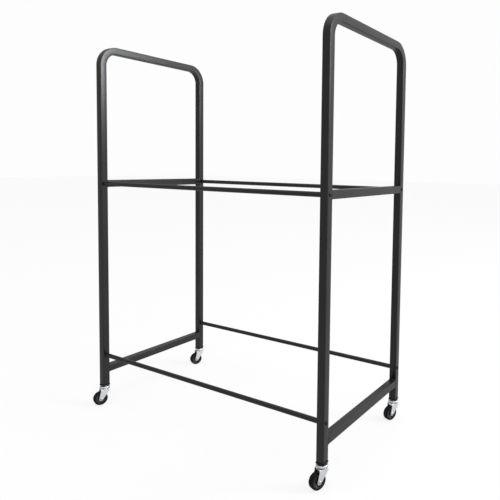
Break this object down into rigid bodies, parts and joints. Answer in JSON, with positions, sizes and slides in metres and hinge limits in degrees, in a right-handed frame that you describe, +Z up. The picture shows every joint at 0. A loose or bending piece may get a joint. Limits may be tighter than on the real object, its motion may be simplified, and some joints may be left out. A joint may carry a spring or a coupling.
{
  "type": "tyre storage rack",
  "caption": "Two-tier rolling tyre rack with bent square-tube end hoops, long round rails between them and swivel stem casters.",
  "frame": {"origin": "on the floor, at the middle of the whole rack's outline with its casters trailing as they stand; the middle of the four legs is 3 mm to +X and 12.5 mm to +Y of it", "axes": "+X along the rails to the right-hand hoop, +Y to the rear, +Z up"},
  "size_m": [1.0685, 0.5769, 1.411],
  "materials": {
    "frame_paint": "satin charcoal powder coat",
    "black_steel": "black oxide steel",
    "black_plastic": "moulded black plastic",
    "zinc_plate": "bright zinc plate",
    "bright_steel": "turned steel",
    "bronze": "sintered bronze",
    "hub_plastic": "moulded dark grey plastic",
    "wheel_rubber": "black rubber"
  },
  "bodies": {
    "rack_frame": {"left_hoop": "frame_paint", "right_hoop": "frame_paint", "left_upper_crossbar": "frame_paint", "right_upper_crossbar": "frame_paint", "left_lower_crossbar": "frame_paint", "right_lower_crossbar": "frame_paint", "front_upper_rail": "frame_paint", "rear_upper_rail": "frame_paint", "front_lower_rail": "frame_paint", "rear_lower_rail": "frame_paint", "rail_end_inserts": "black_steel", "rail_bolts": "black_steel", "front_left_socket": "black_plastic", "front_left_stem": "bright_steel", "front_left_race_cup": "zinc_plate", "front_left_balls": "bright_steel", "front_right_socket": "black_plastic", "front_right_stem": "bright_steel", "front_right_race_cup": "zinc_plate", "front_right_balls": "bright_steel", "rear_left_socket": "black_plastic", "rear_left_stem": "bright_steel", "rear_left_race_cup": "zinc_plate", "rear_left_balls": "bright_steel", "rear_right_socket": "black_plastic", "rear_right_stem": "bright_steel", "rear_right_race_cup": "zinc_plate", "rear_right_balls": "bright_steel"},
    "front_left_caster": {"front_left_fork": "zinc_plate", "front_left_axle": "bright_steel", "front_left_bush": "bronze"},
    "front_left_wheel": {"front_left_hub": "hub_plastic", "front_left_tread": "wheel_rubber"},
    "front_right_caster": {"front_right_fork": "zinc_plate", "front_right_axle": "bright_steel", "front_right_bush": "bronze"},
    "front_right_wheel": {"front_right_hub": "hub_plastic", "front_right_tread": "wheel_rubber"},
    "rear_left_caster": {"rear_left_fork": "zinc_plate", "rear_left_axle": "bright_steel", "rear_left_bush": "bronze"},
    "rear_left_wheel": {"rear_left_hub": "hub_plastic", "rear_left_tread": "wheel_rubber"},
    "rear_right_caster": {"rear_right_fork": "zinc_plate", "rear_right_axle": "bright_steel", "rear_right_bush": "bronze"},
    "rear_right_wheel": {"rear_right_hub": "hub_plastic", "rear_right_tread": "wheel_rubber"}
  },
  "joints": [
    {"name": "front_left_swivel", "type": "hinge", "parent": "rack_frame", "child": "front_left_caster", "pos_m": [-0.5095, -0.245, 0.064], "axis": [0, 0, 1], "continuous": true},
    {"name": "front_left_wheel_spin", "type": "hinge", "parent": "front_left_caster", "child": "front_left_wheel", "pos_m": [-0.51587, -0.26076, 0.026], "axis": [0.9272, -0.3746, 0], "continuous": true},
    {"name": "front_right_swivel", "type": "hinge", "parent": "rack_frame", "child": "front_right_caster", "pos_m": [0.5155, -0.245, 0.064], "axis": [0, 0, 1], "continuous": true},
    {"name": "front_right_wheel_spin", "type": "hinge", "parent": "front_right_caster", "child": "front_right_wheel", "pos_m": [0.50913, -0.26076, 0.026], "axis": [0.9272, -0.3746, 0], "continuous": true},
    {"name": "rear_left_swivel", "type": "hinge", "parent": "rack_frame", "child": "rear_left_caster", "pos_m": [-0.5095, 0.27, 0.064], "axis": [0, 0, 1], "continuous": true},
    {"name": "rear_left_wheel_spin", "type": "hinge", "parent": "rear_left_caster", "child": "rear_left_wheel", "pos_m": [-0.51587, 0.25424, 0.026], "axis": [0.9272, -0.3746, 0], "continuous": true},
    {"name": "rear_right_swivel", "type": "hinge", "parent": "rack_frame", "child": "rear_right_caster", "pos_m": [0.5155, 0.27, 0.064], "axis": [0, 0, 1], "continuous": true},
    {"name": "rear_right_wheel_spin", "type": "hinge", "parent": "rear_right_caster", "child": "rear_right_wheel", "pos_m": [0.50913, 0.25424, 0.026], "axis": [0.9272, -0.3746, 0], "continuous": true}
  ]
}
